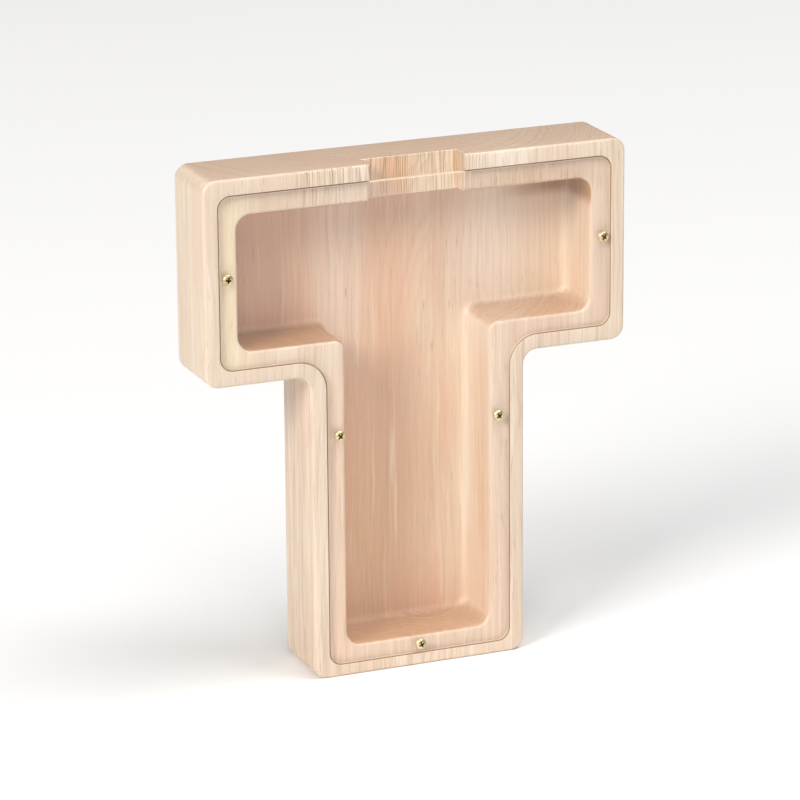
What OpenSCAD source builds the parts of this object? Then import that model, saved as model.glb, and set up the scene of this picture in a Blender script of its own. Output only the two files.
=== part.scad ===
// Free-standing wooden money box in the form of a capital T.
// A block of wood is routed out from the front. A clear cover lies in a ledge around the pocket,
// flush with the front, and five small screws hold it. Coins go in through a notch in the top,
// behind the upper edge of the cover.
// Origin: middle of the resting face. +X to the viewer's right, +Y to the back, +Z up.

/* [Block] */
// Height of the block
box_h = 180; // [165:1:200]
// Width across the arms
box_w = 153.6; // [145:0.2:170]
// Depth from front to back
box_d = 27.5; // [25:0.5:34]
// Height of the crossbar
bar_h = 71.5; // [64:0.5:80]
// Width of the stem
stem_w = 78; // [70:0.2:86]
// Radius of the outward corners
corner_r = 4.8; // [3:0.1:8]
// Radius of the inward corners under the arms
crotch_r = 5; // [3:0.5:8]

/* [Pocket] */
// Width of the front rim at the sides
rim_w = 5.3; // [4.5:0.1:6]
// Width of the front rim at the top
rim_top_w = 5.7; // [4.5:0.1:6.5]
// Width of the front rim under the arms
rim_under_w = 5.5; // [4.5:0.1:6.5]
// Width of the front rim at the foot
rim_foot_w = 4.3; // [3.8:0.1:5]
// Depth of the ledge, which is the thickness of the cover
ledge_depth = 2; // [1.8:0.1:3]
// Radius of the ledge's outward corners
ledge_r = 4.6; // [3:0.1:6]
// Thickness of the block's wall at the sides of the pocket
wall_w = 12.5; // [11.5:0.1:13]
// Thickness of the wall above the pocket
wall_top_w = 13.4; // [12:0.1:14]
// Thickness of the wall under the arms
wall_under_w = 11.6; // [11:0.1:13]
// Thickness of the wall at the foot
wall_foot_w = 10.6; // [10.4:0.1:13]
// Depth of the pocket from the front face
pocket_depth = 21.7; // [18:0.1:22]
// Radius of the pocket's outward corners
pocket_r = 5; // [3:0.5:7]
// Radius of the pocket's inward corners under the arms
pocket_crotch_r = 3.5; // [2:0.5:6]

/* [Coin notch] */
// Width of the notch in the top wall
notch_w = 34.8; // [28:0.2:40]
// Depth of the notch from the front face
notch_depth = 7.6; // [7.2:0.1:10]

/* [Cover] */
// Clearance between the cover's edge and the ledge's wall
cover_gap = 0.3; // [0.2:0.05:0.4]
// Diameter of the screw holes in the cover
cover_hole_d = 2.4; // [2.3:0.1:2.6]

/* [Screws] */
// Diameter of the screw head
head_d = 3.8; // [3.4:0.1:4.2]
// Height of the screw head
head_h = 1.3; // [1.1:0.1:1.6]
// Outside diameter of the thread
thread_d = 2; // [1.8:0.1:2]
// Length of the screw under its head
screw_len = 8; // [6:0.5:10]
// Distance of the arm screws from the ends of the arms
arm_screw_inset = 8.3; // [8:0.1:9]
// Height of the arm screws
arm_screw_z = 145.8; // [135:0.1:150]
// Distance of the stem screws from the sides of the stem
stem_screw_inset = 9.7; // [8.2:0.1:9.8]
// Height of the stem screws
stem_screw_z = 86.7; // [60:0.1:90]
// Height of the foot screw
foot_screw_z = 7.6; // [7.6:0.1:9]

/* [Hidden] */

round_fn = 64;
cut_over = 1;
pilot_gap = 0.05;
pilot_extra_depth = 1;
tip_len = 1.6;
head_side_h = 0.45;
cross_len = 2.3;
cross_w = 0.6;
cross_depth = 0.8;
dome_step = 15;

front_y = -box_d / 2;
back_y = box_d / 2;
ledge_y = front_y + ledge_depth;
floor_y = front_y + pocket_depth;
bar_low = box_h - bar_h;
pocket_top = box_h - wall_top_w;

// Distances inwards from the block's outside, at the sides, top, under the arms and foot
OUTSIDE = [0, 0, 0, 0];
RIM = [rim_w, rim_top_w, rim_under_w, rim_foot_w];
WALL = [wall_w, wall_top_w, wall_under_w, wall_foot_w];

// Screw places as [x, z, turn of the cross slot]
arm_screw_x = box_w / 2 - arm_screw_inset;
stem_screw_x = stem_w / 2 - stem_screw_inset;
SCREWS = [
    [-arm_screw_x, arm_screw_z, 10],
    [arm_screw_x, arm_screw_z, 35],
    [-stem_screw_x, stem_screw_z, 40],
    [stem_screw_x, stem_screw_z, 55],
    [0, foot_screw_z, 65]
];

// Rectangle from low to high, centred on x = 0, with round corners
module round_rect(half_w, low, high, r) {
    translate([-half_w + r, low])
        square([2 * (half_w - r), high - low]);
    translate([-half_w, low + r])
        square([2 * half_w, high - low - 2 * r]);
    for (x = [-1, 1], z = [low + r, high - r])
        translate([x * (half_w - r), z])
            circle(r, $fn = round_fn);
}

// Fillet in the inward corner whose point is at [x, z], on the +X side
module crotch_fillet(x, z, r) {
    difference() {
        translate([x - cut_over, z - r])
            square([r + cut_over, r + cut_over]);
        translate([x + r, z - r])
            circle(r, $fn = round_fn);
    }
}

// Outline of the T, moved inwards by the four insets and by a gap all round
module t_outline(insets, gap, out_r, in_r) {
    half_bar = box_w / 2 - insets[0] - gap;
    half_stem = stem_w / 2 - insets[0] - gap;
    high = box_h - insets[1] - gap;
    low = bar_low + insets[2] + gap;
    round_rect(half_bar, low, high, out_r);
    round_rect(half_stem, insets[3] + gap, low + 2 * out_r, out_r);
    for (side = [0, 1])
        mirror([side, 0])
            crotch_fillet(half_stem, low, in_r);
}

// Turns an outline in X and Z into a slab from y0 back to y1
module slab(y0, y1) {
    translate([0, y1, 0])
        rotate([90, 0, 0])
            linear_extrude(y1 - y0)
                children();
}

// Round hole along Y at a screw's place, from y0 back to y1
module screw_hole(place, r, y0, y1) {
    translate([place[0], y1, place[1]])
        rotate([90, 0, 0])
            cylinder(h = y1 - y0, r = r, $fn = round_fn);
}

module coin_notch() {
    low = pocket_top - 2 * cut_over;
    translate([-notch_w / 2, front_y - cut_over, low])
        cube([notch_w, notch_depth + cut_over, box_h + cut_over - low]);
}

module body() {
    pilot_r = thread_d / 2 + pilot_gap;
    pilot_end = front_y + screw_len + pilot_extra_depth;
    color("burlywood")
        difference() {
            slab(front_y, back_y)
                t_outline(OUTSIDE, 0, corner_r, crotch_r);
            slab(front_y - cut_over, ledge_y)
                t_outline(RIM, 0, ledge_r, crotch_r + rim_w);
            slab(front_y - cut_over, floor_y)
                t_outline(WALL, 0, pocket_r, pocket_crotch_r);
            coin_notch();
            for (place = SCREWS)
                screw_hole(place, pilot_r, front_y, pilot_end);
        }
}

module front_cover() {
    cover_r = ledge_r - cover_gap;
    cover_crotch_r = crotch_r + rim_w + cover_gap;
    color("lightcyan", 0.35)
        difference() {
            slab(front_y, ledge_y)
                t_outline(RIM, cover_gap, cover_r, cover_crotch_r);
            for (place = SCREWS)
                screw_hole(place, cover_hole_d / 2, front_y - cut_over, ledge_y + cut_over);
        }
}

// Cross slot in the top of a screw head
module cross_slot() {
    for (turn = [0, 90])
        rotate(turn)
            translate([-cross_len / 2, -cross_w / 2, head_h - cross_depth])
                cube([cross_len, cross_w, cross_depth + cut_over]);
}

// Outline of half a screw, from the tip up to the middle of the domed head
function screw_profile() = concat(
    [
        [0, -screw_len],
        [thread_d / 2, tip_len - screw_len],
        [thread_d / 2, 0],
        [head_d / 2, 0],
        [head_d / 2, head_side_h]
    ],
    [
        for (a = [dome_step:dome_step:90 - dome_step])
            [head_d / 2 * cos(a), head_side_h + (head_h - head_side_h) * sin(a)]
    ],
    [[0, head_h]]
);

// Cross-head screw, its head resting on the front of the cover
module cover_screw(place) {
    color("goldenrod")
        translate([place[0], front_y, place[1]])
            rotate([90, 0, 0])
                rotate(place[2])
                    difference() {
                        rotate_extrude($fn = round_fn)
                            polygon(screw_profile());
                        cross_slot();
                    }
}

module screw_arm_left() {
    cover_screw(SCREWS[0]);
}

module screw_arm_right() {
    cover_screw(SCREWS[1]);
}

module screw_stem_left() {
    cover_screw(SCREWS[2]);
}

module screw_stem_right() {
    cover_screw(SCREWS[3]);
}

module screw_foot() {
    cover_screw(SCREWS[4]);
}

body();
front_cover();
screw_arm_left();
screw_arm_right();
screw_stem_left();
screw_stem_right();
screw_foot();
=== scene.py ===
import math
from collections import namedtuple

import bmesh
import bpy
from mathutils import Matrix, Vector


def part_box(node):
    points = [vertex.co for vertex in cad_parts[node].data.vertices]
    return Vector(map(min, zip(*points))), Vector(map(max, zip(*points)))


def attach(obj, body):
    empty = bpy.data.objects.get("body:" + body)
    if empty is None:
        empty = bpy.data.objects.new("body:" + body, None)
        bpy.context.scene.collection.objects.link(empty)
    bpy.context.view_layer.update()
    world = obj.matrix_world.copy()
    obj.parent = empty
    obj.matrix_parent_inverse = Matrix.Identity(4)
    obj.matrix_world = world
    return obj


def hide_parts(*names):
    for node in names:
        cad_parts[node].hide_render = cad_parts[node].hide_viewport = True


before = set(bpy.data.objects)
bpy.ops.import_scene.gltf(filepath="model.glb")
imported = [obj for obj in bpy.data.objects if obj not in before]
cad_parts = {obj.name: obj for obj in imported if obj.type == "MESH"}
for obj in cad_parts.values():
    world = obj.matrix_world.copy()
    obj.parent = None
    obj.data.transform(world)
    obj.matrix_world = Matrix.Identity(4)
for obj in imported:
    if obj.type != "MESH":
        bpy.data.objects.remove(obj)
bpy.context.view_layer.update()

MM = 0.001

# ---------------------------------------------------------------- sizes
# From the frame: +X right, +Y back, +Z up, the front face at FRONT
block_low, block_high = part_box("body")
_, cover_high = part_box("front_cover")
block_points = [v.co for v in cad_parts["body"].data.vertices]
SCREW_NODES = sorted(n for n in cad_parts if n.startswith("screw_"))

FRONT = block_low.y
BACK = block_high.y
TOP = block_high.z
HALF_W = block_high.x
HALF_STEM = max(p.x for p in block_points if p.z < TOP / 2)
PAST_CROTCH = 10 * MM
BAR_LOW = min(p.z for p in block_points if p.x > HALF_STEM + PAST_CROTCH)
LEDGE_Y = cover_high.y
COVER_EDGE = HALF_W - cover_high.x

# Details of the block, as in the CAD model. Widths at the sides, top, under the arms and foot
RIM_W, RIM_TOP_W, RIM_UNDER_W, RIM_FOOT_W = 5.3 * MM, 5.7 * MM, 5.5 * MM, 4.3 * MM
WALL_W, WALL_TOP_W, WALL_UNDER_W, WALL_FOOT_W = 12.5 * MM, 13.4 * MM, 11.6 * MM, 10.6 * MM
CORNER_R = 4.8 * MM
CROTCH_R = 5 * MM
LEDGE_R = 4.6 * MM
POCKET_R = 5 * MM
POCKET_CROTCH_R = 3.5 * MM
FLOOR_Y = FRONT + 21.7 * MM
NOTCH_HALF = 17.4 * MM
NOTCH_Y = FRONT + 7.6 * MM
PILOT_R = 1.05 * MM
PILOT_DEPTH = 9 * MM
COVER_HOLE_R = 1.2 * MM
CUT_OVER = 1 * MM

# Eased edges, which the CAD model leaves sharp
FRONT_EASE = 1.1 * MM
BACK_EASE = 1.1 * MM
LEDGE_EASE = 0.3 * MM
POCKET_EASE = 1.5 * MM
NOTCH_EASE = 0.2 * MM
FLOOR_FILLET = 2.6 * MM
COVER_EASE = 0.15 * MM
COVER_FILM = 0.05 * MM

# Fineness of the meshes. FACE_BAND and FLOOR_BAND are the widths of the quads round a flat face
EASE_STEPS = 4
ARC_STEPS = 12
DRILL_SIDES = 40
FLOOR_SIDES = 96
FACE_BAND = 3 * MM
FLOOR_BAND = 1 * MM
SHARP_ANGLE = 40
SCREW_SHARP_ANGLE = 35

# A zone is the inset of a wall, the radii of its outward and inward corners, and how much more than
# that inset it lies inwards at the top, under the arms and at the foot
RIM_MORE = (RIM_TOP_W - RIM_W, RIM_UNDER_W - RIM_W, RIM_FOOT_W - RIM_W)
WALL_MORE = (WALL_TOP_W - WALL_W, WALL_UNDER_W - WALL_W, WALL_FOOT_W - WALL_W)
OUTER = (0, CORNER_R, CROTCH_R, (0, 0, 0))
LEDGE = (RIM_W, LEDGE_R, CROTCH_R + RIM_W, RIM_MORE)
POCKET = (WALL_W, POCKET_R, POCKET_CROTCH_R, WALL_MORE)
COVER = (COVER_EDGE, LEDGE_R - (COVER_EDGE - RIM_W), CROTCH_R + COVER_EDGE, RIM_MORE)


# ---------------------------------------------------------------- mesh helpers
def arc(cx, cz, r, start, end):
    """Points of a quarter circle in X and Z, from start to end in degrees."""
    angles = [math.radians(start + (end - start) * i / ARC_STEPS) for i in range(ARC_STEPS + 1)]
    return [(cx + r * math.cos(a), cz + r * math.sin(a)) for a in angles]


def t_ring(inset, y, zone):
    """One turn round the T at depth y: from the notch's right edge clockwise to its left edge."""
    wall_inset, out_r, in_r, (top_more, under_more, foot_more) = zone
    out_r -= inset - wall_inset
    in_r += inset - wall_inset
    arm, stem = HALF_W - inset, HALF_STEM - inset
    top = TOP - inset - top_more
    bar = BAR_LOW + inset + under_more
    foot = inset + foot_more
    half = [(NOTCH_HALF + NOTCH_EASE, top)]
    half += arc(arm - out_r, top - out_r, out_r, 90, 0)
    half += arc(arm - out_r, bar + out_r, out_r, 0, -90)
    half += arc(stem + in_r, bar - in_r, in_r, 90, 180)
    half += arc(stem - out_r, foot + out_r, out_r, 0, -90)
    outline = half + [(-x, z) for x, z in reversed(half)]
    return [Vector((x, y, z)) for x, z in outline]


def eased(corners):
    """Rounds the corners of a section. A corner is ((inset, y), radius, zone)."""
    stations = []
    last = len(corners) - 1
    for i, (point, radius, zone) in enumerate(corners):
        point = Vector(point)
        if radius == 0 or i in (0, last):
            stations.append((point, zone))
            continue
        into = (point - Vector(corners[i - 1][0])).normalized()
        out = (Vector(corners[i + 1][0]) - point).normalized()
        centre = point + radius * (out - into)
        for step in range(EASE_STEPS + 1):
            a = math.pi / 2 * step / EASE_STEPS
            stations.append((centre - radius * (out * math.cos(a) - into * math.sin(a)), zone))
    return stations


def shrunk(points, distance):
    """Moves the sides of a closed outline inwards, towards its left."""
    moved = []
    for i, p in enumerate(points):
        into = (p - points[i - 1]).normalized()
        out = (points[(i + 1) % len(points)] - p).normalized()
        n1, n2 = Vector((-into.y, into.x)), Vector((-out.y, out.x))
        moved.append(p + (n1 + n2) * distance / (1 + n1.dot(n2)))
    return moved


def new_object(name, data):
    """Puts an object in the scene."""
    made = bpy.data.objects.new(name, data)
    bpy.context.scene.collection.objects.link(made)
    return made


def finish_mesh(bm, name, materials):
    """Turns a bmesh into an object with outward faces and smooth shading."""
    bmesh.ops.recalc_face_normals(bm, faces=bm.faces)
    mesh = bpy.data.meshes.new(name)
    bm.to_mesh(mesh)
    bm.free()
    for material in materials:
        mesh.materials.append(material)
    smooth(mesh)
    return new_object(name, mesh)


def paint(faces, index):
    """Gives faces one of their object's materials."""
    for face in faces:
        face.material_index = index


def smooth(mesh, sharp_angle=SHARP_ANGLE):
    """Smooth shading, apart from edges that bend by more than sharp_angle degrees."""
    mesh.shade_smooth()
    mesh.set_sharp_from_angle(angle=math.radians(sharp_angle))


def bridge(bm, rings, closed):
    """Joins rings of points with bands of quads. closed(k) says whether ring k joins up with itself."""
    verts = [[bm.verts.new(p) for p in ring] for ring in rings]
    count = len(rings[0])
    bands = []
    for k in range(len(verts) - 1):
        a, b = verts[k], verts[k + 1]
        turns = count if closed(k) and closed(k + 1) else count - 1
        quads = [(a[i], a[(i + 1) % count], b[(i + 1) % count], b[i]) for i in range(turns)]
        bands.append([bm.faces.new(quad) for quad in quads])
    return verts, bands


def drill(piece, radius, y0, y1):
    """Cuts a round hole along Y at each screw's place, from y0 back to y1, in the second material."""
    bm = bmesh.new()
    for place in SCREW_NODES:
        low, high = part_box(place)
        centre = Vector(((low.x + high.x) / 2, (y0 + y1) / 2, (low.z + high.z) / 2))
        bmesh.ops.create_cone(
            bm, cap_ends=True, segments=DRILL_SIDES, radius1=radius, radius2=radius, depth=y1 - y0,
            matrix=Matrix.Translation(centre) @ Matrix.Rotation(math.pi / 2, 4, "X"),
        )
    paint(bm.faces, 1)
    cut_away(piece, finish_mesh(bm, "drill", piece.data.materials))


def cut_away(piece, cutter):
    """Takes the cutter's solids out of the piece and deletes the cutter."""
    cut = piece.modifiers.new("cut", "BOOLEAN")
    cut.operation = "DIFFERENCE"
    cut.solver = "EXACT"
    cut.object = cutter
    depsgraph = bpy.context.evaluated_depsgraph_get()
    mesh = bpy.data.meshes.new_from_object(piece.evaluated_get(depsgraph))
    piece.modifiers.clear()
    piece.data = mesh
    bpy.data.objects.remove(cutter)


# ---------------------------------------------------------------- pieces
# Order of the block's materials. The sanded wood of the outside comes first
MILLED_WOOD, LEDGE_WOOD, GROOVE_WOOD, NOTCH_WOOD = 1, 2, 3, 4


def make_block(materials):
    """The wooden block: one section carried round the T, opened at the top by the coin notch."""
    notch_back = NOTCH_Y + NOTCH_EASE
    stations = eased([
        ((FACE_BAND, BACK), 0, OUTER),
        ((0, BACK), BACK_EASE, OUTER),
        ((0, notch_back), 0, OUTER),
        ((0, FRONT), FRONT_EASE, OUTER),
        ((RIM_W, FRONT), LEDGE_EASE, LEDGE),
        ((RIM_W, LEDGE_Y), 0, LEDGE),
        ((WALL_W, LEDGE_Y), POCKET_EASE, POCKET),
        ((WALL_W, notch_back), 0, POCKET),
        ((WALL_W, FLOOR_Y), FLOOR_FILLET, POCKET),
        ((WALL_W + FLOOR_FILLET + FLOOR_BAND, FLOOR_Y), 0, POCKET),
    ])
    # The rings between first and last are open at the top. A Vector holds single precision, so the
    # depth that is looked for is put into one too
    notch_y = Vector((0, notch_back)).y
    first, last = [k for k, (point, _) in enumerate(stations) if point.y == notch_y]
    bm = bmesh.new()
    rings = [t_ring(point.x, point.y, zone) for point, zone in stations]
    verts, bands = bridge(bm, rings, closed=lambda k: k <= first or k >= last)
    bm.faces.new(verts[0])
    floor = bm.faces.new(verts[-1])
    zones = [zone for _, zone in stations]
    groove_from = zones.index(LEDGE) + EASE_STEPS // 2
    ledge_from = len(zones) - 1 - zones[::-1].index(LEDGE)
    pocket_from = zones.index(POCKET) + EASE_STEPS // 2
    # The groove's wall gets the dark wood that paints the shade in the narrow groove
    paint([face for band in bands[groove_from:ledge_from] for face in band], GROOVE_WOOD)
    paint([face for band in bands[ledge_from:pocket_from] for face in band], LEDGE_WOOD)
    paint([floor] + [face for band in bands[pocket_from:] for face in band], MILLED_WOOD)

    # The section of the top wall that the notch takes out, as distances down and back
    top_wall = [point + Vector((zone[-1][0], 0)) for point, zone in stations[first:last + 1]]
    notch = shrunk(top_wall, NOTCH_EASE)
    walls = []
    sides = []
    for column, x in ((0, NOTCH_HALF), (-1, -NOTCH_HALF)):
        side = [bm.verts.new((x, p.y, TOP - p.x)) for p in notch]
        for k in range(len(side) - 1):
            ring, after = verts[first + k], verts[first + k + 1]
            bm.faces.new((ring[column], after[column], side[k + 1], side[k]))
        walls.append(bm.faces.new(side))
        sides.append(side)
    right, left = sides
    walls.append(bm.faces.new((right[0], left[0], left[-1], right[-1])))
    for ring, k in ((verts[first], 0), (verts[last], -1)):
        bm.faces.new((ring[0], ring[-1], left[k], right[k]))
    paint(walls, NOTCH_WOOD)
    block = finish_mesh(bm, "wood_block", materials)
    drill(block, PILOT_R, FRONT, FRONT + PILOT_DEPTH)
    smooth(block.data)
    return block


def make_cover(materials):
    """The clear cover: a sheet cut to the ledge's outline, its edges just broken."""
    back = LEDGE_Y - COVER_FILM
    inner = COVER_EDGE + FACE_BAND
    stations = eased([
        ((inner, FRONT), 0, COVER),
        ((COVER_EDGE, FRONT), COVER_EASE, COVER),
        ((COVER_EDGE, back), COVER_EASE, COVER),
        ((inner, back), 0, COVER),
    ])
    bm = bmesh.new()
    rings = [t_ring(point.x, point.y, zone) for point, zone in stations]
    verts, bands = bridge(bm, rings, closed=lambda k: True)
    bm.faces.new(verts[0])
    bm.faces.new(verts[-1])
    paint([face for band in bands[1:-1] for face in band], 1)
    cover = finish_mesh(bm, "acrylic_cover", materials)
    drill(cover, COVER_HOLE_R, FRONT - CUT_OVER, LEDGE_Y + CUT_OVER)
    smooth(cover.data)
    return cover


SCREW_SIDES = 48
SHANK_R = 1.0 * MM
TIP_LEN = 1.6 * MM
THREAD_PITCH = 0.8 * MM
THREAD_DEPTH = 0.28 * MM
THREAD_SLOPE = 3.2
THREAD_START = 0.8 * MM
THREAD_FADE = 0.5 * MM
THREAD_ROWS = 10
HEAD_SIDE = 0.35 * MM
HEAD_EASE = 0.08 * MM
DOME_FULLNESS = 0.75
DOME_ROWS = 10
CROSS_W = 0.6 * MM
CROSS_LEN = 2.3 * MM
CROSS_DEPTH = 0.9 * MM
CROSS_LONGER = 0.2 * MM
CROSS_WIDER = 0.05 * MM
CROSS_ABOVE = 0.4 * MM
# Half the length and half the width of the recess at its bottom
CROSS_BOTTOM = (CROSS_LEN / 4, CROSS_W / 3)
# Degrees by which each screw's cross is turned
SCREW_TURNS = {
    "screw_arm_left": 10, "screw_arm_right": 35, "screw_foot": 65,
    "screw_stem_left": 40, "screw_stem_right": 55,
}


def thread_radius(depth, angle, length):
    """Radius of the threaded shank at a depth below the head, at an angle round it."""
    turn = (depth / THREAD_PITCH + angle / (2 * math.pi)) % 1
    crest = max(0, 1 - abs(turn - 0.5) * THREAD_SLOPE)
    run_out = min(1, max(0, (depth - THREAD_START) / THREAD_FADE))
    taper = min(1, (length - depth) / TIP_LEN)
    return (SHANK_R - THREAD_DEPTH + THREAD_DEPTH * crest * run_out) * taper


def cross_cutter(seat, head_h, materials):
    """A cross with four arms that narrows towards the bottom of the recess."""
    bm = bmesh.new()
    layers = []
    for depth, half_len, half_w in (
        (-CROSS_ABOVE, CROSS_LEN / 2 + CROSS_LONGER, CROSS_W / 2 + CROSS_WIDER),
        (CROSS_DEPTH, *CROSS_BOTTOM),
    ):
        arm = [Vector((half_w, half_w)), Vector((half_len, half_w)), Vector((half_len, -half_w))]
        turns = [Matrix.Rotation(-math.pi / 2 * quarter, 2) for quarter in range(4)]
        y = seat.y - head_h + depth
        points = [turn @ p for turn in turns for p in arm]
        layers.append([bm.verts.new((seat.x + p.x, y, seat.z + p.y)) for p in points])
    top, bottom = layers
    bm.faces.new(top)
    bm.faces.new(bottom)
    for i in range(len(top)):
        j = (i + 1) % len(top)
        bm.faces.new((top[i], top[j], bottom[j], bottom[i]))
    # The recess's walls take the second material, whose near-black brass is painted shade
    paint(bm.faces, 1)
    return finish_mesh(bm, "cross", materials)


def make_screw(node, materials):
    """A brass wood screw with a domed head and a cross recess, seated on the cover."""
    low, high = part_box(node)
    seat = Vector(((low.x + high.x) / 2, FRONT, (low.z + high.z) / 2))
    head_r = (high.x - low.x) / 2
    head_h = FRONT - low.y
    length = high.y - FRONT

    # From the tip to the top of the head: each row's height above the seat, and its radius by angle
    rows = []
    count = round(length / THREAD_PITCH * THREAD_ROWS)
    for i in range(1, count + 1):
        depth = length * (1 - i / count)
        rows.append((-depth, lambda angle, depth=depth: thread_radius(depth, angle, length)))
    rows.append((0, lambda angle: head_r - HEAD_EASE))
    rows.append((HEAD_EASE, lambda angle: head_r))
    for i in range(DOME_ROWS):
        lift = math.pi / 2 * i / DOME_ROWS
        rise = HEAD_SIDE + (head_h - HEAD_SIDE) * math.sin(lift)
        rows.append((rise, lambda angle, lift=lift: head_r * math.cos(lift) ** DOME_FULLNESS))
    bm = bmesh.new()
    rings = []
    for rise, radius in rows:
        ring = []
        for i in range(SCREW_SIDES):
            angle = 2 * math.pi * i / SCREW_SIDES
            r = radius(angle)
            x, z = r * math.cos(angle), r * math.sin(angle)
            ring.append(Vector((seat.x + x, seat.y - rise, seat.z + z)))
        rings.append(ring)
    verts, _ = bridge(bm, rings, closed=lambda k: True)
    for ring, rise in ((verts[0], -length), (verts[-1], head_h)):
        pole = bm.verts.new((seat.x, seat.y - rise, seat.z))
        for i in range(SCREW_SIDES):
            bm.faces.new((ring[i], ring[(i + 1) % SCREW_SIDES], pole))
    screw = finish_mesh(bm, "brass_" + node, materials)
    cutter = cross_cutter(seat, head_h, materials)
    turn = Matrix.Rotation(math.radians(SCREW_TURNS[node]), 4, "Y")
    cutter.data.transform(Matrix.Translation(seat) @ turn @ Matrix.Translation(-seat))
    cut_away(screw, cutter)
    smooth(screw.data, SCREW_SHARP_ANGLE)
    return screw


# ---------------------------------------------------------------- materials
def add(tree, kind, inputs=None, **settings):
    """Adds a node with its settings, and its inputs as values or as links from sockets."""
    made = tree.nodes.new(kind)
    for name, value in settings.items():
        setattr(made, name, value)
    for name, value in (inputs or {}).items():
        if isinstance(value, bpy.types.NodeSocket):
            tree.links.new(value, made.inputs[name])
        else:
            made.inputs[name].default_value = value
    return made


def new_material(name):
    """An empty node material and its tree."""
    material = bpy.data.materials.new(name)
    material.use_nodes = True
    tree = material.node_tree
    tree.nodes.clear()
    return material, tree


def mix_colour(tree, factor, a, b, blend="MIX"):
    """Colour a, with colour b laid over it by a factor from 0 to 1."""
    made = add(tree, "ShaderNodeMix", data_type="RGBA", blend_type=blend)
    for socket, value in ((made.inputs[0], factor), (made.inputs[6], a), (made.inputs[7], b)):
        if isinstance(value, bpy.types.NodeSocket):
            tree.links.new(value, socket)
        else:
            socket.default_value = value
    return made.outputs[2]


def maths(tree, operation, a, b=0.0, c=0.0):
    """The result of a Math node on values or sockets."""
    made = add(tree, "ShaderNodeMath", operation=operation)
    for socket, value in zip(made.inputs, (a, b, c)):
        if isinstance(value, bpy.types.NodeSocket):
            tree.links.new(value, socket)
        else:
            socket.default_value = value
    return made.outputs[0]


def times(tree, a, b):
    """a times b."""
    return maths(tree, "MULTIPLY", a, b)


def times_plus(tree, a, b, c):
    """a times b, plus c."""
    return maths(tree, "MULTIPLY_ADD", a, b, c)


def minus(tree, a, b):
    """a less b."""
    return maths(tree, "SUBTRACT", a, b)


def between(tree, value, low, high, to_low=0.0, to_high=1.0):
    """Maps a value smoothly from the range low..high to the range to_low..to_high."""
    made = add(tree, "ShaderNodeMapRange", {
        "Value": value, "From Min": low, "From Max": high, "To Min": to_low, "To Max": to_high,
    }, interpolation_type="SMOOTHSTEP")
    return made.outputs["Result"]


def stretched_noise(tree, where, across, along, detail=2.0, roughness=0.5, offset=0.0):
    """Noise in which features are longer along the grain, Z. across and along are per millimetre."""
    placed = add(tree, "ShaderNodeMapping", {
        "Vector": where, "Location": (offset, offset * 0.7, offset * 0.3),
        "Scale": (across, across, along),
    })
    noise = add(tree, "ShaderNodeTexNoise", {
        "Vector": placed.outputs[0], "Scale": 1.0, "Detail": detail, "Roughness": roughness,
    })
    return noise.outputs["Fac"]


def millimetres(tree, place):
    """The place on the object as a vector in millimetres, and its X, Y and Z."""
    in_mm = add(tree, "ShaderNodeVectorMath", {
        0: place.outputs["Object"], "Scale": 1 / MM,
    }, operation="SCALE").outputs[0]
    return in_mm, add(tree, "ShaderNodeSeparateXYZ", {0: in_mm}).outputs


# Tones of the sanded outside, and of the pocket, which was milled and left raw.
# light, pale, rosy and late: the wood's colours, late being the dark lines of the growth rings
# end and end_late: the same two on end grain. end_and_shade_share: how strongly end shows, at the left
# and right
# tilt: the height of a face's normal at which it begins and finishes looking like end grain
# wall: multiplies the colour of faces that look sideways
# In MILLED these are partly painted shade: end, end_late and a wide tilt darken the pocket's upward
# faces and fillets, where shade falls, more strongly at the left. MILLED's wall paints the less red
# look of the side walls in the key light
# rings and contrast: strength of the growth rings, and of all dark lines
# lean: how much rosier the wood gets per millimetre to the left. rosy_shift: how much rosier all over
SANDED = {
    "light": (0.88, 0.79, 0.66, 1), "pale": (0.79, 0.675, 0.535, 1), "rosy": (0.75, 0.595, 0.47, 1),
    "late": (0.43, 0.27, 0.145, 1), "end": (0.66, 0.47, 0.345, 1), "end_late": (0.36, 0.22, 0.13, 1),
    "end_and_shade_share": (0.8, 0.8), "tilt": (0.80, 1.0), "wall": (1, 0.97, 0.94, 1),
    "rings": 0.5, "contrast": 1.0, "lean": 0.0, "rosy_shift": 0.0,
}
MILLED = {
    "light": (0.85, 0.71, 0.54, 1), "pale": (0.79, 0.635, 0.475, 1), "rosy": (0.75, 0.45, 0.29, 1),
    "late": (0.45, 0.26, 0.13, 1), "end": (0.42, 0.225, 0.105, 1), "end_late": (0.22, 0.12, 0.06, 1),
    "end_and_shade_share": (0.92, 0.58), "tilt": (0.15, 0.85), "wall": (0.92, 0.975, 1, 1),
    "rings": 0.7, "contrast": 0.65, "lean": 0.0045, "rosy_shift": 0.05,
}
# Dark tones for the wall of the groove beside the cover: painted shade in the narrow groove
GROOVE_SHADE = dict(
    MILLED, light=(0.40, 0.28, 0.18, 1), pale=(0.34, 0.23, 0.14, 1), rosy=(0.30, 0.18, 0.11, 1),
    late=(0.20, 0.12, 0.07, 1), end=(0.26, 0.17, 0.10, 1), end_late=(0.15, 0.09, 0.05, 1),
)
WOOD_PORE = (0.34, 0.21, 0.13, 1)

# The ledge and the notch lie between the two: shares of MILLED
LEDGE_SHARE = 0.35
NOTCH_SHARE = 0.9
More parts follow.
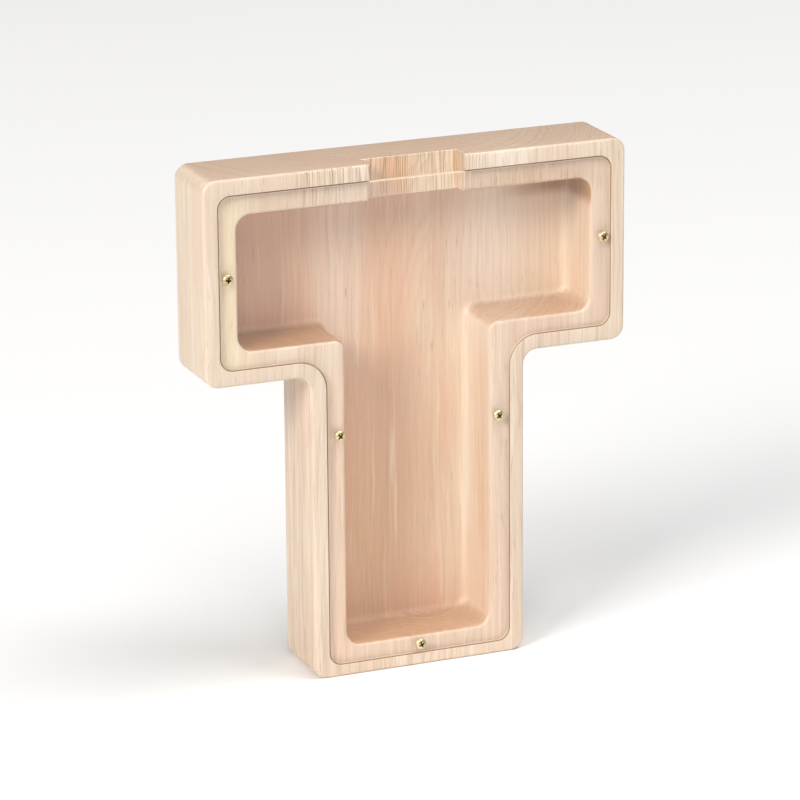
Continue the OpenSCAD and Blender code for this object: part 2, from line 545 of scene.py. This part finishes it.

# Soft upright bands of another tone, in millimetres. Most are tones of the board; the ones marked below
# paint light or shade. A band is strongest at the middle and fades out at its reach. It begins at
# begin_z and has its full share at full_z
Band = namedtuple("Band", "middle reach share colour begin_z full_z")
PALE = (0.90, 0.80, 0.69, 1)
WARM = (0.95, 0.62, 0.45, 1)
ROSY = (0.60, 0.32, 0.20, 1)
DULL = (0.65, 0.44, 0.29, 1)
PAINTED_SHADE_BROWN = (0.42, 0.19, 0.07, 1)
CREAM_PAINTED_LIGHT = (0.92, 0.75, 0.50, 1)
PAINTED_SHADE_TAN = (0.74, 0.44, 0.20, 1)
SANDED_BANDS = (
    Band(-21.0, 17.0, 0.30, PALE, 92.0, 132.0),
    Band(35.0, 17.0, 0.55, PALE, 92.0, 132.0),
)
MILLED_BANDS = (
    Band(-21.0, 17.0, 0.50, PALE, 92.0, 132.0),
    Band(35.0, 17.0, 0.72, PALE, 92.0, 132.0),
    Band(0.0, 200.0, 0.25, WARM, 110.0, 130.0),
    Band(2.0, 15.0, 0.60, ROSY, 118.0, 104.0),
    # Painted shade: a brown band at the top right of the pocket's floor, for the warm shade under the
    # top wall
    Band(60.0, 27.0, 1.0, PAINTED_SHADE_BROWN, 155.5, 160.5),
    # Painted shade: darker and tanner towards the stem's lower left, where shade falls in the pocket
    Band(-22.0, 44.0, 0.40, PAINTED_SHADE_TAN, 92.0, 55.0),
)
LEDGE_BANDS = (
    Band(-21.0, 17.0, 0.30, PALE, 92.0, 132.0),
    Band(42.0, 34.0, 0.60, DULL, 158.0, 164.0),
    # Partly painted light: a yellower tone on the left arm's ledge that also lifts the shadow which the
    # rim casts there
    Band(-69.0, 14.0, 0.70, CREAM_PAINTED_LIGHT, 100.0, 108.0),
    Band(-31.0, 10.0, 0.50, WARM, 112.0, 104.0),
)
NOTCH_BANDS = (
    Band(-21.0, 17.0, 0.48, PALE, 92.0, 132.0),
    Band(35.0, 17.0, 0.703, PALE, 92.0, 132.0),
)

# The board is glued up from three staves, with seams at these X in millimetres. Each stave has its own
# tone, strength of streaks, place of the pith and piece of the noise
SEAMS = (-43.5, 16.5)
SEAM_BLEND = 7.0
STAVE_ROSY = (-0.02, 0.10, -0.03)
STAVE_STREAKS = (0.45, 1.0, 0.8)
STAVE_PITH_X = (2.0, 2.0, -6.0)
STAVE_SHIFT = (0.0, 63.0, 127.0)
# To the right of this X the wood gets no less rosy
LEAN_END = 22.0

# The pith lies PITH_Y behind the middle and tilts back with height. It sways, and the rings wobble
PITH_Y = 42.0
PITH_TILT = 0.07
PITH_SWAY = (20.0, -24.0)
RING_STEP = 1.5
RING_WOBBLE = 3.0
RING_UNEVEN = 2.2
# How slowly the weather changes from year to year
WEATHER_SCALE = 0.45

# How far the grain wanders sideways, and the noise that it follows
WANDER = 5.0
WANDER_NOISE = (0.03, 0.022, 2.0, 0.5, 51.0)
# Noise as (frequency across the grain, frequency along it, detail, roughness, offset)
GRAIN_NOISES = {
    "sway": (0.010, 0.008, 1.0, 0.5, 3.1),
    "wobble": (0.11, 0.012, 2.0, 0.5, 9.7),
    "patches": (0.035, 0.008, 2.0, 0.5, 21.0),
    "fibres": (0.55, 0.016, 4.0, 0.6, 5.0),
    "fine": (1.2, 0.022, 3.0, 0.65, 13.0),
    "lines": (2.1, 0.03, 2.0, 0.6, 17.0),
    "pores": (2.4, 0.13, 1.0, 0.5, 31.0),
    "crowd": (0.05, 0.02, 1.0, 0.5, 41.0),
}

# Ramps as (input where a ramp begins, input where it ends, and its output at both, if not 0 and 1).
# Of the way through a growth ring: where its late wood gets darker, and where that ends
LATE_RISE = (0.3, 0.9)
LATE_FALL = (1.0, 0.9)
# Of the weather: how dark the late wood of a year gets
LATE_BY_YEAR = (0.3, 0.65, 0.25, 1.0)
# Of a noise: rosy patches, light and dark fibres, fine streaks, fine lines and pores
ROSY_PATCHES = (0.34, 0.66)
LIGHT_FIBRES = (0.46, 0.28, 0.0, 0.6)
DARK_FIBRES = (0.50, 0.74, 0.0, 0.36)
STREAKS = (0.48, 0.38)
LINES = (0.50, 0.38)
PORES = (0.67, 0.75)
# Of the crowd noise: how much of the rings and of the pores an area shows
RING_CROWD = (0.35, 0.65)
PORE_CROWD = (0.38, 0.62, 0.15, 0.5)
# The least and the most that rings darken the wood, and the most that streaks and lines do
RING_DARK = (0.1, 0.32)
STREAK_DARK = 0.24
LINE_DARK = 0.12
BOLD_LINE_DARK = 0.68
# Of a normal's sideways part: where the tint of the walls begins and is full
WALL_TILT = (0.5, 0.9)
# Dark flecks on end grain, and the most that they and the rings darken it
END_FLECKS = (0.5, 0.3)
END_FLECK_DARK = 0.25
END_RING_DARK = 0.24
# In the bump, where the fibres' height is 1: the height of the fine noise and the depth of the pores
FINE_HEIGHT = 0.6
PORE_DEPTH = 0.8
# Of the fibres: how rough the wood is
WOOD_ROUGHNESS = (0.3, 0.7, 0.36, 0.52)

# Where the streaks are darkest: around the coin notch, and along the top of the right arm's ledge.
# Each is an ellipse as (middle in X, middle in Z, reach in X, reach in Z). Its rim is a ramp of the
# squared distance from the middle, which is 1 on the ellipse
STREAK_AREAS = ((-12.0, 177.0, 37.0, 19.0), (42.0, 165.5, 28.0, 6.5))
STREAK_RIM = (1.3, 0.5)
# The depth at which they have faded out, and the depth in front of which they are at full strength
STREAK_Y = (6.0, -5.0)
# From here to here in X, end_and_shade_share goes from its first value to its second. In MILLED this
# paints more shade at the left
END_SHADE_X = (-60.0, 26.0)


def by_stave(tree, past_seams, values):
    """A value that changes at each seam of the board."""
    total = values[0]
    for past, before, after in zip(past_seams, values, values[1:]):
        total = times_plus(tree, past, after - before, total)
    return total


def wandering_grain(tree, in_mm, past_seams):
    """Where the noise is read for each place: it wanders sideways, and jumps from stave to stave."""
    wander = stretched_noise(tree, in_mm, *WANDER_NOISE)
    shift = add(tree, "ShaderNodeCombineXYZ", {
        0: times_plus(tree, wander, WANDER, -WANDER / 2),
        2: by_stave(tree, past_seams, STAVE_SHIFT),
    })
    moved = add(tree, "ShaderNodeVectorMath", {0: in_mm, 1: shift.outputs[0]}, operation="ADD")
    return moved.outputs[0]


def late_wood(tree, x, y, z, noise, past_seams):
    """How much of the dark late wood of a growth ring each place has. The rings lie round the pith."""
    pith_x = times_plus(tree, noise["sway"], PITH_SWAY[0], by_stave(tree, past_seams, STAVE_PITH_X))
    pith_y = times_plus(tree, noise["sway"], PITH_SWAY[1], PITH_Y)
    off_x = minus(tree, x, pith_x)
    off_y = minus(tree, y, times_plus(tree, z, PITH_TILT, pith_y))
    radius = maths(tree, "SQRT", times_plus(tree, off_x, off_x, times(tree, off_y, off_y)))
    radius = times_plus(tree, noise["wobble"], RING_WOBBLE, radius)
    years = maths(tree, "DIVIDE", radius, RING_STEP)
    weather = add(tree, "ShaderNodeTexNoise", {
        "W": years, "Scale": WEATHER_SCALE, "Detail": 2.0,
    }, noise_dimensions="1D").outputs["Fac"]
    turn = maths(tree, "FRACT", times_plus(tree, weather, RING_UNEVEN, years))
    late = times(tree, between(tree, turn, *LATE_RISE), between(tree, turn, *LATE_FALL))
    return times(tree, late, between(tree, weather, *LATE_BY_YEAR))


def streak_areas(tree, x, z):
    """1 inside the areas with the darkest streaks, falling to 0 outside them."""
    areas = []
    for middle_x, middle_z, reach_x, reach_z in STREAK_AREAS:
        off_x = maths(tree, "DIVIDE", minus(tree, x, middle_x), reach_x)
        off_z = maths(tree, "DIVIDE", minus(tree, z, middle_z), reach_z)
        off = times_plus(tree, off_x, off_x, times(tree, off_z, off_z))
        areas.append(between(tree, off, *STREAK_RIM))
    return maths(tree, "MAXIMUM", *areas)


def ground_colour(tree, x, z, patches, near_seams, tones, bands):
    """The board's slow changes of tone: pale and rosy patches, with the bands over them."""
    shifts = by_stave(tree, near_seams, [rosy + tones["rosy_shift"] for rosy in STAVE_ROSY])
    patchy = maths(tree, "ADD", patches, shifts)
    rosy = times_plus(tree, maths(tree, "MINIMUM", x, LEAN_END), -tones["lean"], patchy)
    colour = mix_colour(tree, between(tree, rosy, *ROSY_PATCHES), tones["pale"], tones["rosy"])
    for band in bands:
        off = maths(tree, "ABSOLUTE", minus(tree, x, band.middle))
        share = between(tree, off, band.reach, 0.0, 0.0, band.share)
        share = times(tree, share, between(tree, z, band.begin_z, band.full_z))
        colour = mix_colour(tree, share, colour, band.colour)
    return colour


def grained_colour(tree, colour, noise, late, strength, bold, pore_mask, tones):
    """Light and dark fibres, rings, fine lines and pores over the board's colour."""
    light_share = between(tree, noise["fibres"], *LIGHT_FIBRES)
    colour = mix_colour(tree, light_share, colour, tones["light"])
    ring_least, ring_most = RING_DARK
    ring_dark = between(tree, noise["crowd"], *RING_CROWD, ring_least, ring_most * tones["rings"])
    dark_shares = (
        times(tree, between(tree, noise["fibres"], *DARK_FIBRES), strength),
        times(tree, late, times(tree, ring_dark, strength)),
        times(tree, between(tree, noise["fine"], *STREAKS), times(tree, strength, STREAK_DARK)),
        times(tree, between(tree, noise["lines"], *LINES),
              times_plus(tree, bold, BOLD_LINE_DARK, times(tree, strength, LINE_DARK))),
    )
    for share in dark_shares:
        colour = mix_colour(tree, share, colour, tones["late"])
    return mix_colour(tree, pore_mask, colour, WOOD_PORE)


def turned_colour(tree, colour, normal, x, fine, late, tones):
    """The colour changed by the way a face looks: sideways, or up or down, where it shows end grain
    and, in the pocket, painted shade.
    """
    sideways, _, upward = add(tree, "ShaderNodeSeparateXYZ", {0: normal}).outputs
    on_wall = between(tree, maths(tree, "ABSOLUTE", sideways), *WALL_TILT)
    colour = mix_colour(tree, on_wall, colour, tones["wall"], "MULTIPLY")
    end_and_shade_share = between(tree, x, *END_SHADE_X, *tones["end_and_shade_share"])
    end_and_shade_colour = mix_colour(tree, end_and_shade_share, colour, tones["end"])
    flecks = between(tree, fine, *END_FLECKS)
    end_dark = times_plus(tree, flecks, END_FLECK_DARK, times(tree, late, END_RING_DARK))
    end_and_shade_colour = mix_colour(tree, end_dark, end_and_shade_colour, tones["end_late"])
    end_grain_and_shade = between(tree, maths(tree, "ABSOLUTE", upward), *tones["tilt"])
    return mix_colour(tree, end_grain_and_shade, colour, end_and_shade_colour)


def wood_material(name, tones, bands):
    """Pale wood with upright grain: growth rings round a pith behind the block, fibres and pores."""
    material, tree = new_material(name)
    place = add(tree, "ShaderNodeTexCoord")
    in_mm, (x, y, z) = millimetres(tree, place)
    past_seams = [maths(tree, "GREATER_THAN", x, seam) for seam in SEAMS]
    near_seams = [between(tree, x, seam - SEAM_BLEND, seam + SEAM_BLEND) for seam in SEAMS]
    grain = wandering_grain(tree, in_mm, past_seams)
    noise = {use: stretched_noise(tree, grain, *how) for use, how in GRAIN_NOISES.items()}

    late = late_wood(tree, x, y, z, noise, past_seams)
    strength = by_stave(tree, near_seams, [streaks * tones["contrast"] for streaks in STAVE_STREAKS])
    bold = times(tree, streak_areas(tree, x, z), times(tree, between(tree, y, *STREAK_Y), strength))
    pore_mask = times(tree, between(tree, noise["pores"], *PORES),
                      between(tree, noise["crowd"], *PORE_CROWD))
    colour = ground_colour(tree, x, z, noise["patches"], near_seams, tones, bands)
    colour = grained_colour(tree, colour, noise, late, strength, bold, pore_mask, tones)
    colour = turned_colour(tree, colour, place.outputs["Normal"], x, noise["fine"], late, tones)

    height = minus(tree, times_plus(tree, noise["fine"], FINE_HEIGHT, noise["fibres"]),
                   times(tree, pore_mask, PORE_DEPTH))
    bump = add(tree, "ShaderNodeBump", {"Height": height, "Strength": 0.3, "Distance": 0.12 * MM})
    shader = add(tree, "ShaderNodeBsdfPrincipled", {
        "Base Color": colour, "Roughness": between(tree, noise["fibres"], *WOOD_ROUGHNESS),
        "Normal": bump.outputs[0],
    })
    shader.inputs["Specular IOR Level"].default_value = 0.45
    add(tree, "ShaderNodeOutputMaterial", {"Surface": shader.outputs[0]})
    return material


def between_tones(a, b, share):
    """Tones part of the way from a to b."""
    def part(u, v):
        if isinstance(u, tuple):
            return tuple(part(*pair) for pair in zip(u, v))
        return u + (v - u) * share
    return {key: part(a[key], b[key]) for key in a}


def lets_light_by(tree, seen):
    """Light for what lies behind, and light that bounces off it, pass straight through a shader."""
    clear = add(tree, "ShaderNodeBsdfTransparent", {"Color": (0.99, 0.99, 0.985, 1)})
    path = add(tree, "ShaderNodeLightPath")
    bounced = add(tree, "ShaderNodeMixShader", {
        0: path.outputs["Is Diffuse Ray"], 1: seen.outputs[0], 2: clear.outputs[0],
    })
    mixed = add(tree, "ShaderNodeMixShader", {
        0: path.outputs["Is Shadow Ray"], 1: bounced.outputs[0], 2: clear.outputs[0],
    })
    add(tree, "ShaderNodeOutputMaterial", {"Surface": mixed.outputs[0]})


def acrylic_material():
    """Clear acrylic with faint smears."""
    material, tree = new_material("clear_acrylic")
    place = add(tree, "ShaderNodeTexCoord")
    smears = add(tree, "ShaderNodeTexNoise", {
        "Vector": place.outputs["Object"], "Scale": 38.0, "Detail": 3.0,
    })
    rough = between(tree, smears.outputs["Fac"], 0.45, 0.75, 0.01, 0.05)
    glass = add(tree, "ShaderNodeBsdfPrincipled", {
        "Base Color": (0.995, 0.998, 0.995, 1), "Roughness": rough,
    })
    glass.inputs["Transmission Weight"].default_value = 1.0
    glass.inputs["IOR"].default_value = 1.49
    lets_light_by(tree, glass)
    return material


# Colours of the cover's cut edge, as pairs that a noise mixes: painted shade in the groove, and painted
# light where the notch lays it open. Towards the back of the groove it takes on a third colour
EDGE_SHADED = ((0.54, 0.42, 0.31, 1), (0.64, 0.51, 0.38, 1))
EDGE_LIT = ((0.74, 0.59, 0.43, 1), (0.84, 0.72, 0.56, 1))
EDGE_BACK = (0.60, 0.46, 0.33, 1)
# In millimetres: how far behind the front EDGE_BACK begins and is full, the heights between which
# EDGE_LIT begins, and the width of its fade at the notch's sides, to either side
EDGE_BACK_Y = (0.9, 1.8)
EDGE_LIT_Z = (160.0, 165.0)
EDGE_FADE = 0.2


def edge_material():
    """The sheet's cut edge: satin, with painted shade inside the groove and painted light where the
    notch lays it open.
    """
    material, tree = new_material("acrylic_edge")
    in_mm, (x, y, z) = millimetres(tree, add(tree, "ShaderNodeTexCoord"))
    notch_half = NOTCH_HALF / MM
    off_middle = maths(tree, "ABSOLUTE", x)
    in_notch = times(tree, between(tree, off_middle, notch_half + EDGE_FADE, notch_half - EDGE_FADE),
                     between(tree, z, *EDGE_LIT_Z))
    grit = stretched_noise(tree, in_mm, 0.6, 0.6, detail=3.0)
    # Painted shade inside the groove, and painted light where the notch lays the edge open
    dull = mix_colour(tree, grit, *EDGE_SHADED)
    far_back = between(tree, y, *[FRONT / MM + behind for behind in EDGE_BACK_Y])
    dull = mix_colour(tree, far_back, dull, EDGE_BACK)
    bright = mix_colour(tree, grit, *EDGE_LIT)
    colour = mix_colour(tree, in_notch, dull, bright)
    satin = add(tree, "ShaderNodeBsdfPrincipled", {
        "Base Color": colour, "Roughness": between(tree, grit, 0.3, 0.7, 0.35, 0.55),
    })
    lets_light_by(tree, satin)
    return material


# Brass of the screws and of their cross recesses as (name, bright colour, dark colour, least roughness,
# most roughness). The recess's near-black colours are painted shade in the cross
BRASSES = (
    ("brass", (0.84, 0.71, 0.43, 1), (0.60, 0.46, 0.23, 1), 0.34, 0.50),
    ("recess_shade_brass", (0.17, 0.11, 0.045, 1), (0.08, 0.05, 0.02, 1), 0.5, 0.7),
)


def brass_material(name, bright, dark, low, high):
    """Brass that goes from bright to dark in small blotches, and from roughness low to high."""
    material, tree = new_material(name)
    place = add(tree, "ShaderNodeTexCoord")
    tarnish = add(tree, "ShaderNodeTexNoise", {
        "Vector": place.outputs["Object"], "Scale": 900.0, "Detail": 4.0,
    }).outputs["Fac"]
    colour = mix_colour(tree, between(tree, tarnish, 0.4, 0.7), bright, dark)
    bump = add(tree, "ShaderNodeBump", {"Height": tarnish, "Strength": 0.1, "Distance": 0.02 * MM})
    shader = add(tree, "ShaderNodeBsdfPrincipled", {
        "Base Color": colour, "Roughness": between(tree, tarnish, 0.3, 0.7, low, high),
        "Normal": bump.outputs[0],
    })
    shader.inputs["Metallic"].default_value = 1.0
    add(tree, "ShaderNodeOutputMaterial", {"Surface": shader.outputs[0]})
    return material


def floor_material():
    """Pale matt floor with a faint mottle."""
    material, tree = new_material("pale_floor")
    place = add(tree, "ShaderNodeTexCoord")
    mottle = add(tree, "ShaderNodeTexNoise", {
        "Vector": place.outputs["Object"], "Scale": 6.0, "Detail": 2.0,
    })
    colour = mix_colour(tree, mottle.outputs["Fac"], (0.94, 0.94, 0.94, 1), (0.96, 0.96, 0.96, 1))
    shader = add(tree, "ShaderNodeBsdfPrincipled", {"Base Color": colour, "Roughness": 0.8})
    add(tree, "ShaderNodeOutputMaterial", {"Surface": shader.outputs[0]})
    return material


def enter(piece, body, slot, *nodes):
    """Gives a piece its body and hides the CAD nodes that it stands for. Its slot is not used."""
    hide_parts(*nodes)
    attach(piece, body)


# ---------------------------------------------------------------- stage
# Angles in degrees, lens and sensor in millimetres
CAMERA_AZ, CAMERA_EL, CAMERA_ROLL = -22.36, 17.10, -0.43
CAMERA_AWAY = 1.505
CAMERA_LENS, CAMERA_SENSOR = 199.6, 36
CAMERA_CLIP = (0.05, 50)
CAMERA_TARGET = Vector((-7.06 * MM, FRONT, 96.65 * MM))
FLOOR_R = 3.0
# Strength of the light all round, and its brightness where it is seen past the floor
AMBIENT = 0.15
BACKDROP = 0.62
# Soft boxes as (name, azimuth, elevation, distance, size, power, colour)
LIGHTS = (
    ("key", -60, 30, 6.0, 2.4, 262, (1.0, 0.975, 0.945)),
    ("top", 55, 68, 6.0, 3.2, 215, (1, 1, 1)),
    ("front", -18, 50, 6.0, 2.4, 70, (1, 1, 1)),
)


def direction(azimuth, elevation):
    """Unit vector from the object towards a viewer. Azimuth 0 stands in front, on the -Y side."""
    a, e = math.radians(azimuth), math.radians(elevation)
    return Vector((math.sin(a) * math.cos(e), -math.cos(a) * math.cos(e), math.sin(e)))


def make_camera():
    """The camera at the viewing angle, with a long lens."""
    data = bpy.data.cameras.new("camera")
    data.lens = CAMERA_LENS
    data.sensor_width = CAMERA_SENSOR
    data.clip_start, data.clip_end = CAMERA_CLIP
    camera = new_object("camera", data)
    back = direction(CAMERA_AZ, CAMERA_EL)
    camera.location = CAMERA_TARGET + back * CAMERA_AWAY
    roll = Matrix.Rotation(math.radians(CAMERA_ROLL), 3, "Z")
    camera.rotation_euler = ((-back).to_track_quat("-Z", "Y").to_matrix() @ roll).to_euler()
    bpy.context.scene.camera = camera


def make_light(name, azimuth, elevation, away, size, power, colour):
    """A square soft box that points at the middle of the object."""
    data = bpy.data.lights.new(name, "AREA")
    data.shape = "SQUARE"
    data.size = size
    data.energy = power
    data.color = colour
    light = new_object(name, data)
    back = direction(azimuth, elevation)
    light.location = Vector((0, 0, TOP / 2)) + back * away
    light.rotation_euler = (-back).to_track_quat("-Z", "Y").to_euler()


def make_world():
    """Dim white light all round. Where nothing stands in front of it, it shows as a pale backdrop."""
    world = bpy.data.worlds.new("studio")
    world.use_nodes = True
    tree = world.node_tree
    path = add(tree, "ShaderNodeLightPath")
    shown = maths(tree, "MAXIMUM", path.outputs["Is Camera Ray"], path.outputs["Is Transmission Ray"])
    strength = times_plus(tree, shown, BACKDROP - AMBIENT, AMBIENT)
    sky = tree.nodes["Background"]
    sky.inputs["Color"].default_value = (1, 1, 1, 1)
    tree.links.new(strength, sky.inputs["Strength"])
    bpy.context.scene.world = world


def make_stage():
    """The pale floor, the light all round and the soft boxes."""
    bm = bmesh.new()
    bmesh.ops.create_circle(bm, cap_ends=True, segments=FLOOR_SIDES, radius=FLOOR_R)
    floor = finish_mesh(bm, "floor", [floor_material()])
    make_world()
    bpy.context.scene.view_settings.view_transform = "Standard"
    for light in LIGHTS:
        make_light(*light)


# ---------------------------------------------------------------- assembly
make_camera()
make_stage()
ledge_tones = dict(between_tones(SANDED, MILLED, LEDGE_SHARE), lean=-0.0015)
notch_tones = dict(between_tones(SANDED, MILLED, NOTCH_SHARE), rosy_shift=-0.06, contrast=1.15)
woods = [
    wood_material("sanded_wood", SANDED, SANDED_BANDS),
    wood_material("milled_wood", MILLED, MILLED_BANDS),
    wood_material("ledge_wood", ledge_tones, LEDGE_BANDS),
    wood_material("groove_shade_wood", GROOVE_SHADE, MILLED_BANDS),
    wood_material("notch_wood", notch_tones, NOTCH_BANDS),
]
enter(make_block(woods), "block", "wood", "body")
acrylics = [acrylic_material(), edge_material()]
enter(make_cover(acrylics), "cover", "clear_acrylic", "front_cover")
brasses = [brass_material(*brass) for brass in BRASSES]
for screw_node in SCREW_NODES:
    body_name = screw_node.removeprefix("screw_") + "_screw"
    enter(make_screw(screw_node, brasses), body_name, "brass", screw_node)
